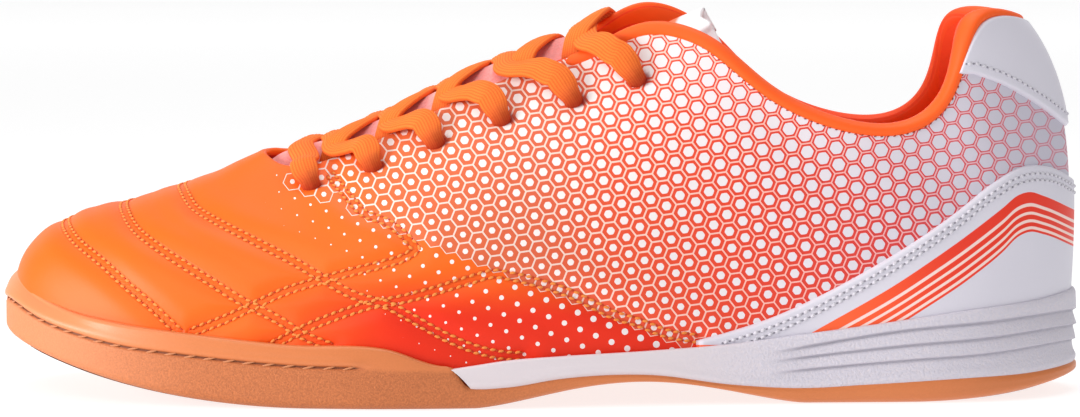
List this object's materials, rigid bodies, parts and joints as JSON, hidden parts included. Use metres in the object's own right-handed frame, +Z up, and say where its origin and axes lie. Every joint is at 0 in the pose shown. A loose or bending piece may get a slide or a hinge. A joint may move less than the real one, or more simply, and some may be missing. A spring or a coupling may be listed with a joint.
{
  "type": "indoor court shoe",
  "caption": "Low laced indoor court shoe for the left foot: orange and white leather upper, padded collar, laced throat, white heel wedge and gum rubber outsole.",
  "frame": {"origin": "under the middle of the sole, on the ground plane that forefoot and heel stand on", "axes": "+X towards the heel, -X towards the toe, -Y towards the outer side of the foot, +Z up"},
  "size_m": [0.285, 0.1031, 0.1016],
  "materials": {
    "gum_rubber": "matt gum rubber with fine stipple",
    "white_foam": "matt moulded foam with fine stipple and shallow grooves",
    "orange_leather": "smooth coated leather with soft sheen and a printed hexagon pattern",
    "white_leather": "smooth white coated leather",
    "tongue_fabric": "soft knitted fabric",
    "lining_fabric": "smooth padded lining",
    "lace_cord": "flat ribbed woven lace"
  },
  "bodies": {
    "root": {"outsole": "gum_rubber", "midsole": "white_foam", "upper": "orange_leather", "insole": "lining_fabric", "tongue": "tongue_fabric", "heel_counter": "white_leather", "heel_tab": "white_leather", "lace_bar": "lace_cord", "lace_cross_1": "lace_cord", "lace_cross_2": "lace_cord", "lace_cross_3": "lace_cord", "lace_cross_4": "lace_cord", "lace_cross_5": "lace_cord"}
  },
  "joints": []
}
